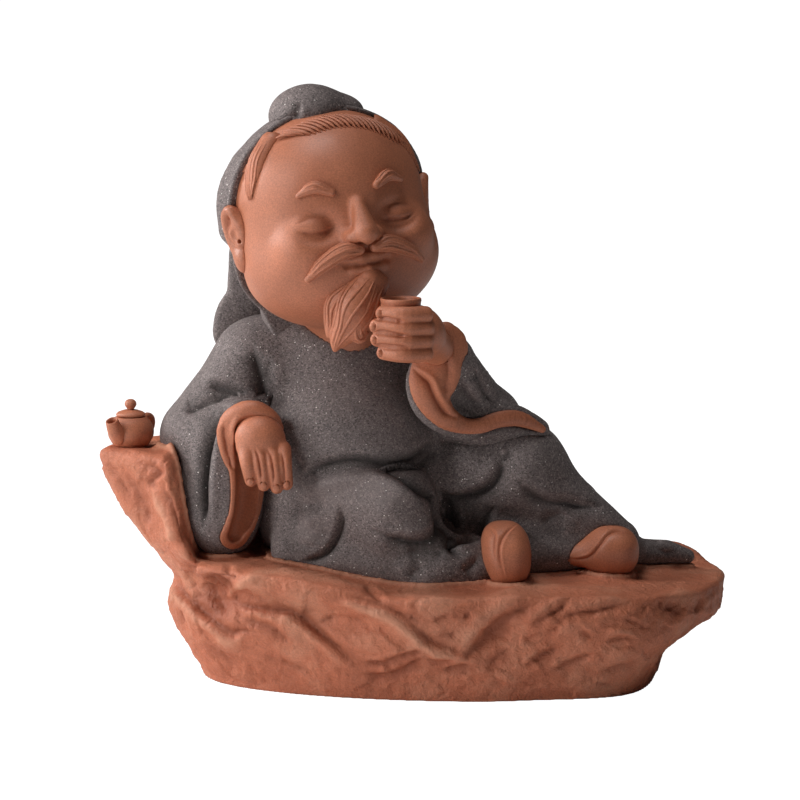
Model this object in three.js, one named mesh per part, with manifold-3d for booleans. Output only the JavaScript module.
// Clay tea pet: a stout scholar in a dark sand-clay robe reclines on a red-clay rock.
// Millimetres. The origin is the centre of the foot on the rest plane, with +X to the
// viewer's right, +Y away from the viewer and +Z up.
import * as THREE from 'three';
import { mergeVertices } from 'three/addons/utils/BufferGeometryUtils.js';
import Module from 'manifold-3d';

const wasm = await Module();
wasm.setup();
const { Manifold, Mesh } = wasm;

// Seams and shells
const CLEARANCE = 0.3; // luting gap between neighbouring clay pieces
const SCARF_THICKNESS = 1.5;
const HAIR_THICKNESS = 1.1;
const LINING_WALL = 1.1;
const LINING_LIP = 0.9; // how far a lining stands out of its sleeve

// Rock
const ROCK_LENGTH = 151.5;
const ROCK_DEPTH = 80;
const HORN_HEIGHT = 54.5;
const LEDGE_HEIGHT = 29.6; // front ledge under the sleeve
const SHELF_HEIGHT = 25; // shelf under the shoes
const VENT_DIAMETER = 6;
const VENT_DEPTH = 8;
const VENT_PLACE = [14, 10];
const RIM_DROP = 0.6; // the rim's edge sits this much under the upper face

// Head
const HEAD_CENTRE = [-18.4, -6, 110];
const HEAD_WIDTH = 49.6;
const HEAD_HEIGHT = 52;
const HEAD_DEPTH = 47;
const FACE_THIRD = 12; // hairline to brow, brow to nose and nose to chin, over a plump throat
const HEAD_YAW = 20; // degrees, the face turns to the viewer's right
const HEAD_ROLL = -8; // degrees, the crown leans to the viewer's left
const NECK_DIAMETER = 22;
const EAR_HEIGHT = 15;

// Cup and teapot
const CUP_DIAMETER = 9.8;
const CUP_FOOT_DIAMETER = 7.2;
const CUP_HEIGHT = 11;
const CUP_WALL = 0.9;
const CUP_RIM = [-2.2, -30.6, 94.2]; // centre of the cup's rim
const POT_DIAMETER = 11.2;
const POT_FOOT_DIAMETER = 8.9;
const POT_HEIGHT = 6.9;
const POT_PLACE = [-67, 2];
const LID_DIAMETER = 7.2;
const LID_HEIGHT = 1.7;
const KNOB_DIAMETER = 3;
const HANDLE_ROD = 1.6;

// Clay colours
const RED_CLAY = new THREE.MeshStandardMaterial({ color: '#b06e54', roughness: 0.78, metalness: 0 });
const ROCK_CLAY = new THREE.MeshStandardMaterial({ color: '#a9664c', roughness: 0.85, metalness: 0 });
const SAND_CLAY = new THREE.MeshStandardMaterial({ color: '#575153', roughness: 0.82, metalness: 0 });

// Numbers and triples
const mix = (a, b, t) => a + (b - a) * t;
const clamp = (x, low, high) => Math.min(high, Math.max(low, x));
const ease = (t) => clamp(t, 0, 1) ** 2 * (3 - 2 * clamp(t, 0, 1));
const along = (p, d, t) => [p[0] + d[0] * t, p[1] + d[1] * t, p[2] + d[2] * t];
const vector = (p) => new THREE.Vector3(p[0], p[1], p[2]);

// A form is a function of a point: negative inside the clay, zero on its skin and about
// the distance in millimetres outside it.
function egg([cx, cy, cz], [rx, ry, rz]) {
  const least = Math.min(rx, ry, rz);
  return ([x, y, z]) => {
    const a = Math.hypot((x - cx) / rx, (y - cy) / ry, (z - cz) / rz);
    const b = Math.hypot((x - cx) / rx ** 2, (y - cy) / ry ** 2, (z - cz) / rz ** 2);
    return b > 1e-6 ? (a * (a - 1)) / b : -least;
  };
}

// An egg squared off like a moulded loaf
function loaf(centre, radii) {
  const least = Math.min(...radii);
  return (p) => {
    const cubes = p.map((value, i) => Math.abs((value - centre[i]) / radii[i]) ** 3);
    return (Math.cbrt(cubes[0] + cubes[1] + cubes[2]) - 1) * least;
  };
}

// Round cones through points [x, y, z, radius], thinned to a share along an axis if one is given
function limb(points, axis = [0, 0, 1], share = 1) {
  return ([x, y, z]) => {
    let nearest = Infinity;
    for (let i = 0; i + 1 < points.length; i += 1) {
      const [ax, ay, az, ar] = points[i];
      const [bx, by, bz, br] = points[i + 1];
      const [dx, dy, dz] = [bx - ax, by - ay, bz - az];
      const run = dx * dx + dy * dy + dz * dz;
      const t = clamp(((x - ax) * dx + (y - ay) * dy + (z - az) * dz) / run, 0, 1);
      const off = [x - ax - dx * t, y - ay - dy * t, z - az - dz * t];
      const through = (off[0] * axis[0] + off[1] * axis[1] + off[2] * axis[2]) * (1 / share - 1);
      nearest = Math.min(nearest, Math.hypot(...along(off, axis, through)) - mix(ar, br, t));
    }
    return nearest;
  };
}

function blend(soft, ...forms) {
  return (p) => {
    let d = forms[0](p);
    for (let i = 1; i < forms.length; i += 1) {
      const e = forms[i](p);
      const h = Math.max(soft - Math.abs(d - e), 0) / soft;
      d = Math.min(d, e) - (h * h * soft) / 4;
    }
    return d;
  };
}

function carve(soft, form, tool) {
  const rest = blend(soft, (p) => -form(p), tool);
  return (p) => -rest(p);
}

const overlap = (...forms) => (p) => Math.max(...forms.map((form) => form(p)));
const behind = (point, normal) => (p) =>
  (p[0] - point[0]) * normal[0] + (p[1] - point[1]) * normal[1] + (p[2] - point[2]) * normal[2];

// First crossing of a ray that starts inside the form, pushed out by a growth in mm
function reach(form, origin, way, grow) {
  const cross = (level) => {
    let far = 0;
    while (form(along(origin, way, far)) < level && far < 200) far += 0.5;
    let near = Math.max(far - 0.5, 0);
    for (let i = 0; i < 10; i += 1) {
      const middle = (near + far) / 2;
      if (form(along(origin, way, middle)) < level) near = middle;
      else far = middle;
    }
    return far;
  };
  const bare = cross(0);
  if (!grow) return Math.max(bare, 0.02);
  const p = along(origin, way, bare);
  const here = form(p);
  const slope = Math.hypot(...[0, 1, 2].map((i) => {
    const q = [...p];
    q[i] += 0.02;
    return (form(q) - here) / 0.02;
  }));
  return Math.max(cross(grow * Math.max(slope, 0.2)), bare + grow);
}

function solid(positions, triangles) {
  const mesh = new Mesh({
    numProp: 3,
    vertProperties: new Float32Array(positions.flat()),
    triVerts: new Uint32Array(triangles.flat()),
  });
  return new Manifold(mesh);
}

// Closed skin from stacked rings between two end points
function stack(rings, start, end) {
  const sides = rings[0].length;
  const points = [start, ...rings.flat(), end];
  const last = points.length - 1;
  const at = (ring, side) => 1 + ring * sides + (side % sides);
  const faces = [];
  for (let s = 0; s < sides; s += 1) {
    faces.push([0, at(0, s + 1), at(0, s)]);
    faces.push([last, at(rings.length - 1, s), at(rings.length - 1, s + 1)]);
    for (let r = 0; r + 1 < rings.length; r += 1) {
      faces.push([at(r, s), at(r, s + 1), at(r + 1, s + 1)]);
      faces.push([at(r, s), at(r + 1, s + 1), at(r + 1, s)]);
    }
  }
  return solid(points, faces);
}

// Skin of a form: rays leave a spine ring by ring and stop where the clay ends. The first
// ray of each ring looks to the facing direction, and focus crowds the rays round it.
function skin(form, spine, { rings = 8, sides = 16, caps = 3, facing = [0, -1, 0], focus = 0 }, grow = 0) {
  const curve = new THREE.CatmullRomCurve3(spine.map(vector), false, 'centripetal');
  const ringAt = (share, lean) => {
    const centre = curve.getPointAt(share);
    const axis = curve.getTangentAt(share);
    const first = vector(facing);
    first.addScaledVector(axis, -first.dot(axis)).normalize();
    const second = new THREE.Vector3().crossVectors(axis, first);
    return Array.from({ length: sides }, (_, s) => {
      const turn = (s / sides) * 2 * Math.PI;
      const angle = turn - focus * Math.sin(turn);
      const way = new THREE.Vector3()
        .addScaledVector(first, Math.cos(angle) * Math.cos(lean))
        .addScaledVector(second, Math.sin(angle) * Math.cos(lean))
        .addScaledVector(axis, Math.sin(lean));
      const origin = centre.toArray();
      return along(origin, way.toArray(), reach(form, origin, way.toArray(), grow));
    });
  };
  const tip = (share, sign) => {
    const origin = curve.getPointAt(share).toArray();
    const way = curve.getTangentAt(share).multiplyScalar(sign).toArray();
    return along(origin, way, reach(form, origin, way, grow));
  };
  const lean = (i) => ((caps - i) / (caps + 1)) * (Math.PI / 2);
  const rows = [];
  for (let i = 0; i < caps; i += 1) rows.push(ringAt(0, -lean(i)));
  for (let i = 0; i < rings; i += 1) rows.push(ringAt(i / (rings - 1), 0));
  for (let i = caps - 1; i >= 0; i -= 1) rows.push(ringAt(1, lean(i)));
  return stack(rows, tip(0, -1), tip(1, 1));
}

// A clay piece keeps its form's skin and, for its neighbours' seats, the skin grown by the gap
function clay(form, spine, counts) {
  return {
    form,
    body: skin(form, spine, counts),
    seat: skin(form, spine, counts, CLEARANCE),
  };
}

const cut = (piece, ...neighbours) =>
  neighbours.reduce((body, neighbour) => body.subtract(neighbour.seat ?? neighbour), piece.body ?? piece);

// Three.js geometry to a solid, and a solid to a named mesh
function fromGeometry(geometry) {
  geometry.deleteAttribute('normal');
  geometry.deleteAttribute('uv');
  const merged = mergeVertices(geometry, 1e-4);
  return new Manifold(new Mesh({
    numProp: 3,
    vertProperties: new Float32Array(merged.attributes.position.array),
    triVerts: new Uint32Array(merged.index.array),
  }));
}

// Triangles of the largest closed skin of a mesh: a cut may leave a crumb of clay at a thin edge
function mainSkin(triangles, count) {
  const leader = Array.from({ length: count }, (_, i) => i);
  const lead = (i) => {
    while (leader[i] !== i) {
      leader[i] = leader[leader[i]];
      i = leader[i];
    }
    return i;
  };
  for (let f = 0; f < triangles.length; f += 3) {
    leader[lead(triangles[f])] = lead(triangles[f + 1]);
    leader[lead(triangles[f + 1])] = lead(triangles[f + 2]);
  }
  const skins = new Map();
  for (let f = 0; f < triangles.length; f += 3) {
    const key = lead(triangles[f]);
    if (!skins.has(key)) skins.set(key, []);
    skins.get(key).push(triangles[f], triangles[f + 1], triangles[f + 2]);
  }
  return [...skins.values()].reduce((a, b) => (b.length > a.length ? b : a));
}

function named(name, body, material) {
  const { vertProperties, triVerts } = body.getMesh();
  const geometry = new THREE.BufferGeometry();
  geometry.setAttribute('position', new THREE.BufferAttribute(new Float32Array(vertProperties), 3));
  geometry.setIndex(mainSkin(triVerts, vertProperties.length / 3));
  geometry.computeVertexNormals();
  const mesh = new THREE.Mesh(geometry, material);
  mesh.name = name;
  return mesh;
}

// Turned form about an upright axis from [radius, height] points
function turned(profile, [x, y, z], sides = 20) {
  const geometry = new THREE.LatheGeometry(profile.map(([r, h]) => new THREE.Vector2(r, h)), sides);
  geometry.rotateX(Math.PI / 2);
  geometry.translate(x, y, z);
  return fromGeometry(geometry);
}

// Rock: guide rings from the foot up to the rim. Each has twelve points, from the right end
// round the back to the horn and along the front, as shares of the half length and half depth.
const HALF_LENGTH = ROCK_LENGTH / 2;
const HALF_DEPTH = ROCK_DEPTH / 2;
const FOOT_RING = [
  [0.78, 0, 0], [0.71, 0.56, 0], [0.43, 0.86, 0], [0.05, 0.9, 0], [-0.31, 0.76, 0], [-0.585, 0.38, 0],
  [-0.655, 0, 0], [-0.59, -0.36, 0], [-0.38, -0.64, 0], [-0.06, -0.82, 0], [0.3, -0.86, 0], [0.67, -0.68, 0],
];
const LOBE_RING = [
  [0.81, 0.02, 0.3], [0.75, 0.62, 0.34], [0.45, 0.93, 0.38], [0.05, 0.96, 0.42], [-0.33, 0.83, 0.5],
  [-0.67, 0.45, 0.62], [-0.77, 0, 0.68], [-0.685, -0.4, 0.66], [-0.43, -0.73, 0.62],
  [-0.08, -0.93, 0.5], [0.31, -0.94, 0.42], [0.71, -0.76, 0.34],
];
const NOTCH_RING = [
  [0.87, 0.03, 0.38], [0.81, 0.63, 0.44], [0.5, 0.94, 0.52], [0.06, 0.96, 0.7], [-0.33, 0.84, 0.84],
  [-0.66, 0.46, 0.94], [-0.745, 0, 0.96], [-0.67, -0.36, 0.98], [-0.43, -0.72, 0.94],
  [-0.09, -0.94, 0.74], [0.31, -0.96, 0.68], [0.76, -0.78, 0.54],
];
const SHOULDER_RING = [
  [0.99, 0.04, 0.58], [0.91, 0.68, 0.7], [0.55, 0.98, 0.8], [0.09, 1, 1.12], [-0.35, 0.98, 1.5],
  [-0.75, 0.6, 1.66], [-0.93, 0.06, 1.66], [-0.8, -0.32, 1.4], [-0.53, -0.77, 1.14],
  [-0.11, -0.99, 0.88], [0.32, -1, 0.84], [0.79, -0.78, 0.76],
];
const RIM_RING = [
  [1, 0.05], [0.93, 0.66], [0.57, 0.96], [0.1, 1], [-0.35, 0.98], [-0.79, 0.62],
  [-1, 0.08], [-0.82, -0.3], [-0.54, -0.73], [-0.12, -0.96], [0.33, -0.965], [0.79, -0.73],
];

// Height of the rock's upper face: shelf to the right, ledge to the left, and the horn
// that runs on behind the figure as its back rest
function rockTop(x, y) {
  const shelf = mix(LEDGE_HEIGHT, SHELF_HEIGHT, ease((x + 36) / 36)) - 2 * ease((x - 40) / 36);
  const back = mix(HORN_HEIGHT, SHELF_HEIGHT, 0.95 * ease((x + 44) / 96));
  const beside = (-50 - x) / 8;
  const rear = (y - 4 - 0.12 * (x + 50)) / 12;
  return mix(shelf, Math.max(back, shelf), ease(Math.max(beside, rear)));
}

const POT_SEAT = rockTop(...POT_PLACE);

// Broad swells and hollows of the scraped sides: x, z, width, height and rise
const FRONT_RELIEF = [
  [-45, 24, 5, 4.5, -1.7], [-50, 13, 9, 6, 1.1], [-34, 14.5, 11, 6, 0.9], [-18.5, 19.5, 10, 4, -1.4],
  [-3, 14.5, 10, 5, 1.3], [21, 16.5, 7.5, 6, -1.6], [36, 23, 10, 5, 1], [61, 21, 6, 4.5, -1.5],
  [48, 11, 9, 6, 0.9], [6, 24, 9, 3.5, 0.8], [-62, 42, 6, 7, -1], [2, 5, 14, 3.5, -0.7],
];
const BACK_RELIEF = [
  [-62, 38, 8, 8, -1.3], [-42, 18, 9, 6, -1.5], [-20, 30, 10, 6, 1.2], [-16, 10, 11, 5, 1.2],
  [8, 22, 9, 6, -1.5], [32, 12, 10, 6, 1.3], [52, 21, 9, 5, -1.3],
];

function scraped([x, y, z]) {
  const rise = (dents) => dents.reduce((sum, [at, level, width, tall, depth]) =>
    sum + depth * Math.exp(-(((x - at) / width) ** 2) - ((z - level) / tall) ** 2), 0);
  const swell = mix(rise(BACK_RELIEF), rise(FRONT_RELIEF), ease((6 - y) / 12)) * ease(z / 3);
  const share = 1 + swell / Math.hypot(x, y);
  return [x * share, y * share, z];
}

function rockBody() {
  const sides = 44;
  const guide = (ring) => {
    const points = ring.map(([x, y, z = 0]) =>
      new THREE.Vector3(x * HALF_LENGTH, y * HALF_DEPTH, z * SHELF_HEIGHT));
    return new THREE.CatmullRomCurve3(points, true, 'centripetal');
  };
  const guides = [FOOT_RING, LOBE_RING, NOTCH_RING, SHOULDER_RING, RIM_RING].map(guide);
  const steps = [[0, 1, [0, 0.5]], [1, 2, [0, 0.5]], [2, 3, [0, 0.5]], [3, 4, [0, 0.55]]];
  const level = (low, high, t, s) => {
    const a = guides[low].getPoint(s / sides);
    const b = guides[high].getPoint(s / sides);
    const rim = guides[4].getPoint(s / sides);
    if (high === 4) b.z = rockTop(rim.x, rim.y) - RIM_DROP;
    if (low === 3) a.z = Math.min(a.z, b.z - 2);
    const p = a.lerp(b, t).toArray();
    return low === 0 && t === 0 ? [p[0], p[1], 0] : scraped(p);
  };
  const rows = [];
  for (const [low, high, shares] of steps) {
    for (const t of shares) rows.push(Array.from({ length: sides }, (_, s) => level(low, high, t, s)));
  }
  for (const share of [1, 0.9, 0.76, 0.58, 0.36]) {
    rows.push(Array.from({ length: sides }, (_, s) => {
      const rim = guides[4].getPoint(s / sides);
      const [x, y] = [rim.x * share, rim.y * share];
      return [x, y, rockTop(x, y) - (share === 1 ? RIM_DROP : 0)];
    }));
  }
  return stack(rows, [0, 0, 0], [0, 0, rockTop(0, 0)]);
}

// Head frame: x to the viewer's right, -y out of the face, z up, origin in the skull
const headTurn = new THREE.Matrix4()
  .makeRotationY(THREE.MathUtils.degToRad(HEAD_ROLL))
  .multiply(new THREE.Matrix4().makeRotationZ(THREE.MathUtils.degToRad(HEAD_YAW)));
const headPlace = headTurn.clone().setPosition(vector(HEAD_CENTRE));
const headBack = headPlace.clone().invert();
const move = (matrix, [x, y, z]) => {
  const m = matrix.elements;
  return [
    m[0] * x + m[4] * y + m[8] * z + m[12],
    m[1] * x + m[5] * y + m[9] * z + m[13],
    m[2] * x + m[6] * y + m[10] * z + m[14],
  ];
};
const onHead = (p) => move(headPlace, p);
const headForm = (form) => (p) => form(move(headBack, p));
const headWay = (d) => vector(d).transformDirection(headTurn).toArray();

// Head proportions: equal thirds from hairline to brow, nose and chin, with the eyes under the brow
const HALF_WIDTH = HEAD_WIDTH / 2;
const HALF_HEIGHT = HEAD_HEIGHT / 2;
const HALF_FACE = HEAD_DEPTH / 2;
const THROAT = -HALF_HEIGHT;
const HAIRLINE = HALF_HEIGHT * 0.74;
const BROW = HAIRLINE - FACE_THIRD;
const NOSE_BASE = BROW - FACE_THIRD;
const CHIN = NOSE_BASE - FACE_THIRD;
const MOUTH = NOSE_BASE - FACE_THIRD * 0.36;
const EYE_WIDTH = HEAD_WIDTH / 5;

const skull = blend(6,
  egg([0, 2, HALF_HEIGHT * 0.18], [HALF_WIDTH * 0.92, HALF_FACE * 0.93, HALF_HEIGHT * 0.8]),
  egg([0, -HALF_FACE * 0.12, -HALF_HEIGHT * 0.36],
    [HALF_WIDTH * 0.95, HALF_FACE * 0.8, HALF_HEIGHT * 0.62]));

// Point on the bare skull before a place of the face, raised by a lift
function onFace(x, z, lift = 0) {
  const far = reach(skull, [x, 0, z], [0, -1, 0], 0);
  return [x, -far - lift, z];
}

function faceForm() {
  const noseTip = onFace(0, NOSE_BASE + 2.6, 2.6);
  const bridge = onFace(0, BROW - 3, 0.4);
  const both = (make) => [make(-1), make(1)];
  const socket = both((side) => {
    const [x, y, z] = onFace(side * EYE_WIDTH, 0.2, 2.2);
    return egg([x, y, z], [4.6, 3.4, 3]);
  });
  const lid = both((side) => {
    const [x, y, z] = onFace(side * EYE_WIDTH, -0.2, -3.6);
    return egg([x, y, z], [4.6, 4.4, 3.5]);
  });
  const cheek = both((side) => {
    const [x, y, z] = onFace(side * EYE_WIDTH * 1.15, NOSE_BASE, -5);
    return egg([x, y, z], [7.5, 6.6, 6.6]);
  });
  const wing = both((side) => {
    const [x, y, z] = onFace(side * 3, NOSE_BASE + 1.6, 0.4);
    return egg([x, y, z], [2, 2.2, 1.8]);
  });
  const lip = (half, drop, side, middle) => limb([
    [...onFace(-half, MOUTH + drop, -0.2), side],
    [...onFace(0, MOUTH + drop, 0.1), middle],
    [...onFace(half, MOUTH + drop, -0.2), side]]);
  const lips = [lip(4.4, 1, 0.5, 1.3), lip(3.6, -1.5, 0.6, 1.5)];
  const chin = egg([0, -HALF_FACE * 0.66, CHIN + 3.4], [6.2, 5.2, 4.6]);
  const ball = blend(3, skull, ...cheek, chin);
  const sockets = socket.reduce((form, tool) => carve(3, form, tool), ball);
  return blend(1.6, sockets, ...lid, limb([[...bridge, 1.5], [...noseTip, 2.9]]), ...wing, ...lips);
}

const face = faceForm();
const neck = limb([[0, 4, THROAT + 12, NECK_DIAMETER / 2], [2, 7, THROAT - 5, NECK_DIAMETER / 2 - 2]]);
const head = clay(
  headForm(blend(3, face, neck)),
  [onHead([0, 1, 0.5]), onHead([0, 1, -0.5])],
  { rings: 2, sides: 28, caps: 9, facing: headWay([0, -1, 0]), focus: 0.58 },
);

// Cap: a shell over the skull behind a plane from the hairline down to the nape
const CAP_EDGE = [0, -HALF_FACE * 0.1, HALF_HEIGHT * 0.94];
const CAP_SLOPE = vector([0, 0.982, 0.19]).normalize().toArray();
const capFlare = (side) => limb([
  [side * 17.5, 6, 15, 3], [side * 21.4, 6, 9, 3.8], [side * 22.4, 7, 1, 3.4]]);
const capShell = blend(4,
  blend(3, (p) => skull(p) - SCARF_THICKNESS, capFlare(-1), capFlare(1)),
  limb([[0, 8, THROAT + 14, HALF_WIDTH * 0.82], [0, 9, THROAT + 7, HALF_WIDTH * 0.7]]));
const capBehind = (shift) => (p) => -behind(along(CAP_EDGE, CAP_SLOPE, shift), CAP_SLOPE)(p);
const scarf = clay(
  headForm(overlap(capShell, capBehind(0))),
  [onHead([0, 9, 5]), onHead([0, 9, 4])],
  { rings: 2, sides: 20, caps: 5, facing: headWay([0, -1, 0]) },
);

// Bun on the crown under its wrap
const bun = clay(
  headForm(blend(2,
    egg([-1, 3.6, HALF_HEIGHT - 0.8], [9.4, 8.8, 7]),
    egg([5.4, 4.4, HALF_HEIGHT - 2.2], [7.4, 7.2, 5.2]))),
  [onHead([0, 4, HALF_HEIGHT]), onHead([0, 4, HALF_HEIGHT - 1])],
  { rings: 2, sides: 14, caps: 3 },
);

// Cloth tail from the cap's lower edge down behind the neck
const TAIL_PATH = [
  [-37.2, 10, 100, 6.4], [-38, 10, 92, 5.9], [-38.6, 9.6, 88, 6.3],
  [-39.6, 9, 84.6, 7.4], [-39.8, 9, 82, 7.8],
];
const tail = clay(
  limb(TAIL_PATH, [-0.25, 0.968, 0], 0.34),
  TAIL_PATH.map((p) => p.slice(0, 3)),
  { rings: 6, sides: 12, caps: 1 },
);

// Torso and shoulders
const torso = clay(
  blend(6,
    egg([-17, 5, 70], [20, 14, 17]),
    egg([-14, -3, 55.5], [21.5, 18.5, 18.5]),
    limb([[-35, 6, 73, 11], [-19, 4, 79, 11], [-2, 7, 72, 10]]),
    egg([-16, 2, 36], [20, 17, 12])),
  [[-16, 3, 34], [-15, 0, 50], [-16, 3, 66], [-18, 4, 78]],
  { rings: 7, sides: 20, caps: 2 },
);

// Robe over the legs: right thigh folded in front, left knee raised behind, hem on the rock
const skirt = clay(
  blend(4,
    limb([[-24, -4, 40, 12], [-4, -15.5, 42.5, 10.6]]),
    limb([[-4, -16, 37, 8], [8, -18, 31, 6.4], [17, -16, 29, 5.4]]),
    limb([[0, 2, 46, 11], [26, -1, 50, 11.3]]),
    limb([[26, -1, 48, 11], [38, -1, 39.6, 8], [50, -1, 32.2, 5]]),
    limb([[-28, -14, 32, 5], [-10, -18, 29, 4], [4, -22, 27, 3.4], [14, -19, 27, 3.4]]),
    limb([[46, 2, 31, 5], [56, 5, 28, 3.3], [62, 7.4, 27.6, 2.8], [67.4, 9.4, 26.2, 1.6]]),
    egg([14, -2, 30], [34, 13, 9])),
  [[-26, -3, 37], [-6, -5, 38.5], [14, -4, 37.5], [28, -3, 38], [40, -1, 34], [52, 2.4, 30], [66, 8.8, 26.6]],
  { rings: 15, sides: 22, caps: 1, facing: [0, 0, 1] },
);

// Right sleeve, on the viewer's left: elbow on the horn, wide mouth below the wrist
const rightSleeve = clay(
  blend(5,
    limb([[-36, 4, 74, 11.5], [-43, 3, 66, 10], [-51, 1, 57.5, 9]]),
    limb([[-47, -3, 56, 8], [-38.5, -14, 62, 6.4]]),
    egg([-44.5, -8.5, 45], [10, 10, 15.9])),
  [[-38, 3, 73], [-44, 0, 62], [-46, -4, 54], [-45, -8, 46], [-44.5, -9, 38]],
  { rings: 8, sides: 16, caps: 2 },
);

// The sleeve's mouth runs from the cuff down to the hem and opens to the front
const MOUTH_WAY = [0.35, -0.937, 0];
const MOUTH_PATH = [
  [-37.5, -15, 61, 5.2], [-37.8, -15, 52, 4.2], [-39, -15, 43, 3.4], [-41.5, -15, 36, 2.6]];
const mouthLine = (extra, deep, shift) => limb(
  MOUTH_PATH.map((p) => [...along(p, MOUTH_WAY, shift), p[3] + extra]), MOUTH_WAY, deep);
const mouthSpine = MOUTH_PATH.map((p) => p.slice(0, 3));
const mouthCounts = { rings: 5, sides: 10, caps: 2 };
const liningBlank = clay(
  overlap(
    mouthLine(LINING_WALL, 1.6, 0),
    (p) => rightSleeve.form(p) - LINING_LIP),
  mouthSpine, mouthCounts);
const CUFF_PATH = [
  [-42.2, -16.2, 53.4, 1.5], [-43.2, -16.6, 58.6, 2], [-42.6, -17, 63, 2.3], [-39.6, -17.6, 65.6, 2.4],
  [-36.2, -18, 66, 2.3], [-32.8, -17.8, 64.2, 2], [-31.2, -17, 61.8, 1.5],
];
const cuff = clay(
  limb(CUFF_PATH), CUFF_PATH.map((p) => p.slice(0, 3)), { rings: 8, sides: 7, caps: 1 });
const mouthHollow = skin(
  mouthLine(0, 2.4, 5), mouthSpine.map((p) => along(p, MOUTH_WAY, 5)), mouthCounts);

// Hands: a palm and four fingers, each a limb from its knuckle to its tip
function hand(palm, fingers, spines, counts, tips) {
  const parts = [
    [palm, spines, counts],
    ...fingers.map((points) => [limb(points), points.map((p) => p.slice(0, 3)), tips]),
  ];
  const join = (grow) => parts
    .map(([form, spine, count]) => skin(form, spine, count, grow))
    .reduce((whole, part) => whole.add(part));
  return { body: join(0), seat: join(CLEARANCE) };
}

const FINGER_COUNTS = { rings: 3, sides: 6, caps: 1 };
const rightPalm = blend(3,
  egg([-35, -20, 59.4], [5.7, 4.2, 4.9]),
  limb([[-37, -14, 61.6, 4.2], [-35.6, -19, 60.2, 4.4]]));
const rightFingers = [[-38.6, -37.2, 50.2], [-35.6, -34.2, 49.2], [-32.5, -31.2, 48.6], [-29.8, -28.9, 49.4]]
  .map(([knuckle, tip, low], i) => [
    [knuckle, -21.4 - 0.5 * Math.sin(i), 57.4, 1.95],
    [mix(knuckle, tip, 0.5), -24 - 0.5 * Math.sin(i), 54.2, 1.75],
    [tip, -22.6 - 0.5 * Math.sin(i), low, 1.5]]);
const rightHand = hand(
  rightPalm, rightFingers, [[-36.8, -15, 61.4], [-35, -20, 59.4]],
  { rings: 3, sides: 14, caps: 2 }, FINGER_COUNTS);

// Left sleeve, on the viewer's right: elbow on the raised knee, forearm up to the chin
const LIP_PATH = [
  [8.4, -18, 84.4, 2.6], [9.2, -17.4, 80.8, 4.4], [5.6, -18.2, 74.6, 5.8], [5.2, -18.4, 69.4, 4.3],
  [8, -17.4, 64.8, 3], [12.4, -15.6, 62.2, 2], [16.6, -14, 61.9, 1.9], [21.2, -11.6, 63, 1.9],
  [26, -9.4, 62.8, 1.8], [31.4, -7, 60, 0.9],
];
const LIP_WAY = [0.2, -0.96, 0.196];
const lipForm = (wider, back) => limb(LIP_PATH.map(([x, y, z, r]) => {
  const shown = 1 - 1.8 * ease((z - 68) / 12);
  return [...along([x, y, z], LIP_WAY, -back), r + wider * shown];
}), LIP_WAY, 0.45);
const leftSleeve = clay(
  blend(4,
    limb([[1, 8, 72, 10], [12, 5, 65, 8.6], [19, 0, 61.4, 6.8]]),
    limb([[19, 0, 62, 6.4], [14, -8, 70, 5.8], [10.4, -14, 77, 5]]),
    limb([[12, -6, 62, 5.6], [20, -5, 60, 5], [28, -4, 58.6, 3.6]]),
    egg([9, -3, 68], [6, 7, 6]),
    lipForm(1, 2)),
  [[3, 6, 71], [10, -1.5, 67], [17, -4, 62.6], [26, -4.5, 59.4]],
  { rings: 9, sides: 18, caps: 2, facing: [-0.1, -0.7, 0.7], focus: 0.4 },
);
const leftLining = clay(
  lipForm(0, 0), LIP_PATH.map((p) => p.slice(0, 3)),
  { rings: 15, sides: 8, caps: 1 });

const leftPalm = blend(3,
  egg([1.4, -29, 86], [6.2, 5.8, 6.2]),
  limb([[6, -20, 81.2, 4.1], [3, -25, 84.2, 5.2]]));
const leftFingers = [-6.3, -7.7, -7.5, -6.1].map((tip, i) => {
  const z = CUP_RIM[2] - 3.6 - 3.05 * i;
  return [
    [3.4, -33.8, z, 1.9], [-1.6, -36, z + 0.1, 1.9], [tip, -34, z + 0.3, 1.7]];
});
const leftHand = hand(
  leftPalm, leftFingers, [[5.6, -20.6, 81.6], [2, -28, 85.6]],
  { rings: 4, sides: 14, caps: 2 }, FINGER_COUNTS);

// Cup: open bowl with its own foot, held in the fist
function cup(extra) {
  const rim = CUP_DIAMETER / 2 + extra;
  const foot = CUP_FOOT_DIAMETER / 2 + extra;
  const place = [CUP_RIM[0], CUP_RIM[1], CUP_RIM[2] - CUP_HEIGHT];
  const above = CUP_HEIGHT + 3;
  if (extra) {
    return turned([[0, -extra], [foot, -extra], [rim, CUP_HEIGHT * 0.6], [rim, above], [0, above]], place);
  }
  return turned([
    [0, 0], [foot, 0], [mix(foot, rim, 0.75), CUP_HEIGHT * 0.35], [rim, CUP_HEIGHT * 0.75],
    [rim, CUP_HEIGHT - 0.3], [rim - CUP_WALL / 2, CUP_HEIGHT], [rim - CUP_WALL, CUP_HEIGHT - 0.3],
    [rim - CUP_WALL, CUP_HEIGHT * 0.75], [mix(foot, rim, 0.75) - CUP_WALL, CUP_HEIGHT * 0.38],
    [foot - CUP_WALL, CUP_WALL * 1.6], [0, CUP_WALL * 1.3]], place);
}

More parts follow.
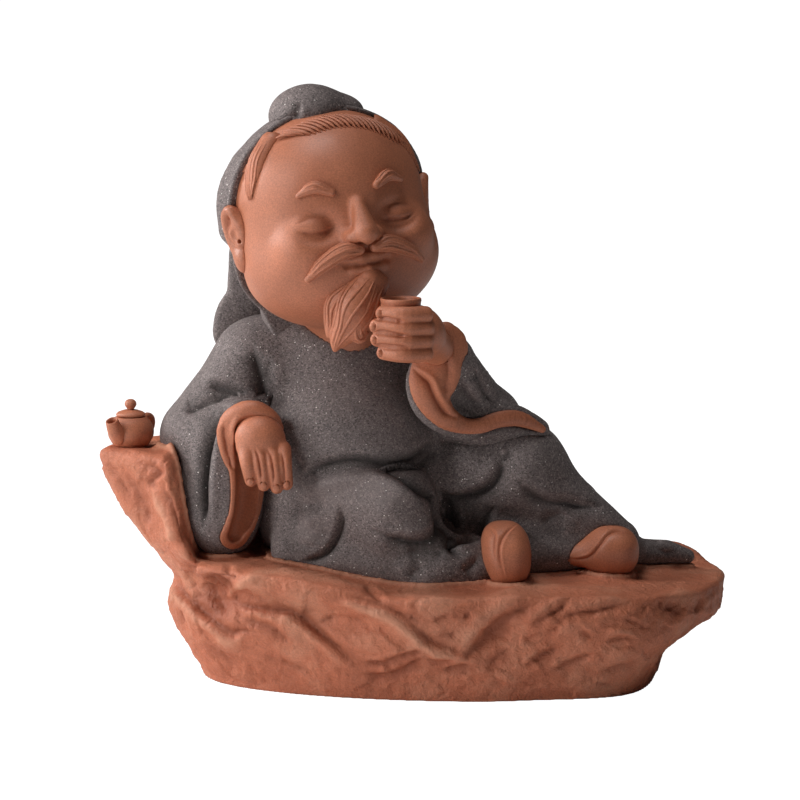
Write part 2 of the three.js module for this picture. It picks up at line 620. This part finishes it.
// Shoes: rounded toes with the sole's seam left to the surface
const rightShoe = clay(
  loaf([22.6, -18.4, 32.8], [5.9, 8.4, 6.8]), [[22.6, -17, 32.8], [22.6, -19, 32.8]],
  { rings: 2, sides: 16, caps: 3, facing: [0, 0, 1] });
const leftShoe = clay(
  blend(3,
    loaf([48.6, -7.8, 31.6], [6.1, 6.8, 5.1]),
    limb([[37.6, -8.8, 29.6, 2.5], [45.6, -8.4, 30.9, 4.4]])),
  [[38.4, -8.7, 29.8], [50, -7.8, 31.6]], { rings: 5, sides: 14, caps: 2 });

// Ears between brow and nose, with long lobes
const EAR_TOP = BROW - 0.5;
function ear(side) {
  const middle = EAR_TOP - EAR_HEIGHT / 2;
  const out = (reach(skull, [0, 1, middle], [side, 0, 0], 0) - 0.5) * side;
  const rim = limb([
    [out + side * 0.8, -0.6, middle + 3.2, 1.1], [out + side * 1.9, 0.6, middle + 6.4, 1.4],
    [out + side * 2.5, 3.1, middle + 5.2, 1.5], [out + side * 2.1, 3.6, middle + 0.4, 1.4],
    [out + side * 1.2, 1.8, middle - 4, 1.5]]);
  const shell = blend(1.2,
    egg([out + side * 0.2, 1.2, middle + 1.6], [1.9, 3.8, EAR_HEIGHT * 0.38]),
    egg([out + side * 0.8, 0.8, middle - EAR_HEIGHT * 0.32], [2.7, 3.1, EAR_HEIGHT * 0.22]), rim);
  const hollow = egg([out + side * 3, -0.2, middle + 1.8], [1.6, 1.8, 3]);
  return clay(
    headForm(carve(1, shell, hollow)),
    [onHead([out - side * 0.4, 1, middle + 2.6]), onHead([out - side * 0.4, 0.6, middle - 4])],
    { rings: 5, sides: 12, caps: 2, facing: headWay([side, 0, 0]) });
}

// Place on the skull by its turn from the face's middle and its height
function onSkull(turn, z, lift) {
  const angle = THREE.MathUtils.degToRad(turn);
  const way = [Math.sin(angle), -Math.cos(angle), 0];
  return along([0, 0, z], way, reach(skull, [0, 0, z], way, 0) + lift);
}

// Strand pieces laid on the head: route of [turn, height, lift, radius]
function strand(route, counts) {
  const points = route.map(([turn, z, lift, r]) => [...onHead(onSkull(turn, z, lift)), r]);
  return clay(limb(points), points.map((p) => p.slice(0, 3)), counts);
}

const STRAND_COUNTS = { rings: 4, sides: 6, caps: 1 };
const moustache = (side) => strand([
  [side * 5, NOSE_BASE - 1.2, 1.2, 1.3], [side * 14, NOSE_BASE - 1, 1.4, 1.9],
  [side * 27, NOSE_BASE - 3.4, 1.1, 1.6], [side * 37, NOSE_BASE - 6.4, 0.8, 0.8]], STRAND_COUNTS);
const eyebrow = (side) => strand([
  [side * 16, BROW + 0.6, 0.2, 1.1], [side * 27, BROW + 2.2, 0.2, 1.6], [side * 38, BROW + 0.8, 0.2, 0.8]],
  STRAND_COUNTS);
const sideburn = (side) => strand([
  [side * 66, HAIRLINE - 2, -0.4, 2], [side * 66, BROW + 2, -0.6, 1.9],
  [side * 64, NOSE_BASE + 8, -0.3, 0.9]],
  STRAND_COUNTS);

// Goatee: combed locks from under the lip over the chest
const beardRoot = onHead(onSkull(0, MOUTH - 4.6, 0.2));
const BEARD_LOCKS = [
  [[...beardRoot, 3.4],
    [-12.6, -27, 92, 4.4], [-14.6, -27.2, 87.4, 3.4], [-16.8, -26.4, 83.4, 1.7], [-17.4, -26.2, 81.6, 0.7]],
  [[...along(beardRoot, [-2.4, 0.6, -0.6], 1), 2.4],
    [-16.6, -25.4, 92.4, 2.8], [-17.8, -25.6, 88, 2.2], [-18.8, -25.6, 84.8, 0.8]],
  [[...along(beardRoot, [2, 0.2, -0.6], 1), 2.4],
    [-10.4, -27.4, 91.4, 3], [-12.6, -27.8, 87, 2.4], [-15.4, -26.8, 83, 0.9]],
];
const beard = clay(
  blend(0.8, ...BEARD_LOCKS.map((lock) => limb(lock))), BEARD_LOCKS[0].map((p) => p.slice(0, 3)),
  { rings: 8, sides: 11, caps: 1 });

// Hair band on the forehead, in front of the cap
const FRINGE_WIDTH = 3.4;
const fringeShell = overlap(
  (p) => skull(p) - HAIR_THICKNESS,
  (p) => -capBehind(-CLEARANCE)(p),
  capBehind(-FRINGE_WIDTH),
  ([, , z]) => HAIRLINE - 5 - z);
const fringeCentre = along([0, CAP_EDGE[1], HAIRLINE + 1], CAP_SLOPE, -FRINGE_WIDTH / 2);
const fringe = clay(
  headForm(fringeShell),
  [onHead(along(fringeCentre, CAP_SLOPE, 0.3)), onHead(along(fringeCentre, CAP_SLOPE, -0.3))],
  { rings: 2, sides: 22, caps: 1, facing: headWay([1, 0, 0]) });

// Teapot on the horn, spout to the front left and handle behind
const POT_TURN = THREE.MathUtils.degToRad(236);
const POT_LOOP = [[3.8, 5.7], [6.2, 6.5], [8.1, 5.3], [7.8, 3.3], [6, 2.2], [4, 2]];
const potWay = (distance, z) => [Math.cos(POT_TURN) * distance, Math.sin(POT_TURN) * distance, z];
function potParts() {
  const foot = POT_FOOT_DIAMETER / 2;
  const belly = POT_DIAMETER / 2;
  const outline = (extra) => [
    [0, -extra], [foot + extra, -extra], [belly + extra, POT_HEIGHT * 0.34],
    [belly * 0.98 + extra, POT_HEIGHT * 0.58], [belly * 0.84 + extra, POT_HEIGHT * 0.85],
    [LID_DIAMETER / 2 + 0.4 + extra, POT_HEIGHT + extra], [0, POT_HEIGHT + extra]];
  const body = turned(outline(0), [0, 0, 0]);
  const seat = turned(outline(CLEARANCE), [0, 0, 0]);
  const lidFoot = POT_HEIGHT + CLEARANCE;
  const lid = turned([
    [0, 0], [LID_DIAMETER / 2, 0], [LID_DIAMETER / 2, 0.5], [LID_DIAMETER * 0.22, LID_HEIGHT * 0.85],
    [0, LID_HEIGHT]], [0, 0, lidFoot], 18);
  const knobRadius = KNOB_DIAMETER / 2;
  const ball = new THREE.SphereGeometry(knobRadius, 9, 5);
  ball.rotateX(Math.PI / 2);
  ball.translate(0, 0, lidFoot + LID_HEIGHT + knobRadius * 0.84);
  const lidSeat = turned([[0, 0], [LID_DIAMETER, 0], [LID_DIAMETER, 0.5], [0, LID_HEIGHT + CLEARANCE]],
    [0, 0, lidFoot], 18);
  const knob = fromGeometry(ball).subtract(lidSeat);
  const spoutLine = [[...potWay(4, 2.8), 2.3], [...potWay(6, 4.4), 1.9], [...potWay(7.1, 6.4), 1.6]];
  const spoutRim = behind(potWay(7.2, 7), [...potWay(0.5, 0.87)]);
  const spout = skin(
    carve(0.3, overlap(limb(spoutLine), spoutRim),
      limb([[...potWay(6.2, 5.2), 0.8], [...potWay(7, 6.2), 1], [...potWay(8.2, 9), 1.9]])),
    [potWay(4, 2.8), potWay(5.4, 3.6)], { rings: 2, sides: 9, caps: 4 })
    .subtract(seat);
  const loop = new THREE.CatmullRomCurve3(POT_LOOP.map(([r, z]) => vector(potWay(-r, z))));
  const section = new THREE.Shape();
  section.absarc(0, 0, HANDLE_ROD / 2, 0, 2 * Math.PI);
  const rod = new THREE.ExtrudeGeometry(section, { steps: 8, curveSegments: 4, extrudePath: loop });
  const handle = fromGeometry(rod).subtract(seat);
  return [['teapot_body', body], ['teapot_lid', lid], ['teapot_knob', knob], ['teapot_spout', spout],
    ['teapot_handle', handle]];
}

// Seats: each larger piece gives way to the smaller piece luted on it
const ears = { right: ear(-1), left: ear(1) };
const hairline = cut(fringe, head, scarf);
const capBody = cut(scarf, head, ears.right, ears.left, torso, rightSleeve);
const bunBody = cut(bun, scarf, head, fringe);
const tailBody = cut(tail, scarf, head, torso, rightSleeve);
const liningBody = cut(liningBlank.body.subtract(mouthHollow).add(cuff.body), rightHand);
const leftLiningBody = cut(leftLining, leftHand);
const torsoBody = cut(torso, head, rightSleeve, cuff, leftSleeve, leftLining, beard);
const skirtBody = cut(skirt, torso, rightSleeve, leftSleeve, leftLining, rightShoe, leftShoe);
const rightSleeveBody = cut(rightSleeve, liningBlank, cuff, rightHand);
const leftSleeveBody = cut(leftSleeve, leftLining, leftHand, head);
const vent = new THREE.CylinderGeometry(VENT_DIAMETER / 2, VENT_DIAMETER / 2, VENT_DEPTH * 2, 24);
vent.rotateX(Math.PI / 2);
vent.translate(...VENT_PLACE, 0);
const rock = cut(
  rockBody(), torso, skirt, rightSleeve, leftSleeve, rightShoe, leftShoe, fromGeometry(vent));

const teaPet = new THREE.Group();
teaPet.add(named('rock_base', rock, ROCK_CLAY));
const teapot = new THREE.Group();
teapot.position.set(...POT_PLACE, POT_SEAT + CLEARANCE);
for (const [name, body] of potParts()) teapot.add(named(name, body, RED_CLAY));
teaPet.add(teapot);
teaPet.add(named('robe_body', torsoBody, SAND_CLAY));
teaPet.add(named('robe_skirt', skirtBody, SAND_CLAY));
teaPet.add(named('right_sleeve', rightSleeveBody, SAND_CLAY));
teaPet.add(named('right_sleeve_lining', liningBody, RED_CLAY));
teaPet.add(named('right_hand', rightHand.body, RED_CLAY));
teaPet.add(named('left_sleeve', leftSleeveBody, SAND_CLAY));
teaPet.add(named('left_sleeve_lining', leftLiningBody, RED_CLAY));
teaPet.add(named('left_hand', cut(leftHand, cup(CLEARANCE)), RED_CLAY));
teaPet.add(named('tea_cup', cup(0), RED_CLAY));
teaPet.add(named('head', head.body, RED_CLAY));
teaPet.add(named('head_scarf', capBody, SAND_CLAY));
teaPet.add(named('topknot_wrap', bunBody, SAND_CLAY));
teaPet.add(named('scarf_drape', tailBody, SAND_CLAY));
teaPet.add(named('right_ear', cut(ears.right, head), RED_CLAY));
teaPet.add(named('left_ear', cut(ears.left, head), RED_CLAY));
teaPet.add(named('beard', cut(beard, head, leftHand), RED_CLAY));
for (const [name, side] of [['right', -1], ['left', 1]]) {
  teaPet.add(named(`moustache_${name}`, cut(moustache(side), head), RED_CLAY));
  teaPet.add(named(`eyebrow_${name}`, cut(eyebrow(side), head), RED_CLAY));
  teaPet.add(named(`${name}_sideburn`, cut(sideburn(side), head, scarf, ears[name], fringe), RED_CLAY));
}
teaPet.add(named('hair_fringe', hairline, RED_CLAY));
teaPet.add(named('right_shoe', rightShoe.body, RED_CLAY));
teaPet.add(named('left_shoe', leftShoe.body, RED_CLAY));

export default teaPet;
